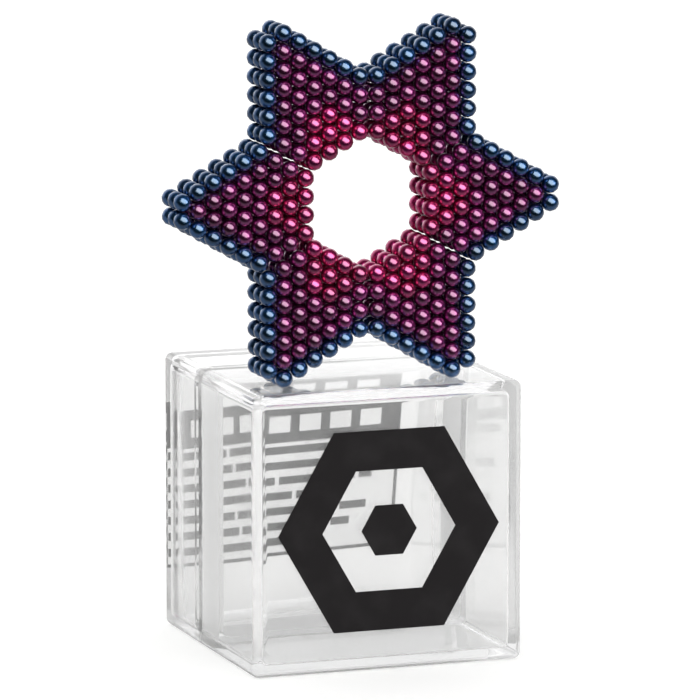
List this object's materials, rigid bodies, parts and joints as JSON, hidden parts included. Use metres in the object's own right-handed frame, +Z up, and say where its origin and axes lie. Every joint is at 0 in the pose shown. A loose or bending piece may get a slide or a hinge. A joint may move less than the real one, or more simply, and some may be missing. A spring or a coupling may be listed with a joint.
{
  "type": "magnetic desk sculpture",
  "caption": "Six-armed star built from small coloured magnet balls, standing on its two lower tips on the clear cube case that stores the balls.",
  "frame": {"origin": "on the desk, under the middle of the case: the centre of the case's base", "axes": "+X to the right seen from the front, +Y towards the label at the back, +Z up; the mark on the case faces -Y"},
  "size_m": [0.0556, 0.0393, 0.0887],
  "materials": {
    "clear_case": "clear moulded polystyrene, slightly milky",
    "black_print": "matte black print",
    "label_film": "clear label film",
    "label_ink": "black ink printed on the label film",
    "blue_balls": "deep blue glossy metallic coating",
    "purple_balls": "plum glossy metallic coating",
    "pink_balls": "magenta glossy metallic coating"
  },
  "bodies": {
    "case_back": {"case_back": "clear_case", "label_film": "label_film", "label_print": "label_ink"},
    "case_front": {"case_front": "clear_case", "front_mark": "black_print"},
    "star_base": {"lower_left_arm_blue": "blue_balls", "lower_left_arm_purple": "purple_balls", "lower_left_arm_pink": "pink_balls", "lower_right_arm_blue": "blue_balls", "lower_right_arm_purple": "purple_balls", "lower_right_arm_pink": "pink_balls"},
    "left_arm": {"left_arm_blue": "blue_balls", "left_arm_purple": "purple_balls", "left_arm_pink": "pink_balls"},
    "right_arm": {"right_arm_blue": "blue_balls", "right_arm_purple": "purple_balls", "right_arm_pink": "pink_balls"},
    "upper_left_arm": {"upper_left_arm_blue": "blue_balls", "upper_left_arm_purple": "purple_balls", "upper_left_arm_pink": "pink_balls"},
    "upper_right_arm": {"upper_right_arm_blue": "blue_balls", "upper_right_arm_purple": "purple_balls", "upper_right_arm_pink": "pink_balls"}
  },
  "joints": [
    {"name": "case_open", "type": "slide", "parent": "case_back", "child": "case_front", "axis": [0, -1, 0], "range_m": [0, 0.01]},
    {"name": "star_lift", "type": "slide", "parent": "case_front", "child": "star_base", "axis": [0, 0, 1], "range_m": [0, 0.02]},
    {"name": "left_arm_pull", "type": "slide", "parent": "star_base", "child": "left_arm", "axis": [-1, 0, 0], "range_m": [0, 0.01]},
    {"name": "right_arm_pull", "type": "slide", "parent": "star_base", "child": "right_arm", "axis": [1, 0, 0], "range_m": [0, 0.01]},
    {"name": "upper_left_arm_pull", "type": "slide", "parent": "star_base", "child": "upper_left_arm", "axis": [-0.5, 0, 0.866], "range_m": [0, 0.01]},
    {"name": "upper_right_arm_pull", "type": "slide", "parent": "star_base", "child": "upper_right_arm", "axis": [0.5, 0, 0.866], "range_m": [0, 0.01]}
  ]
}
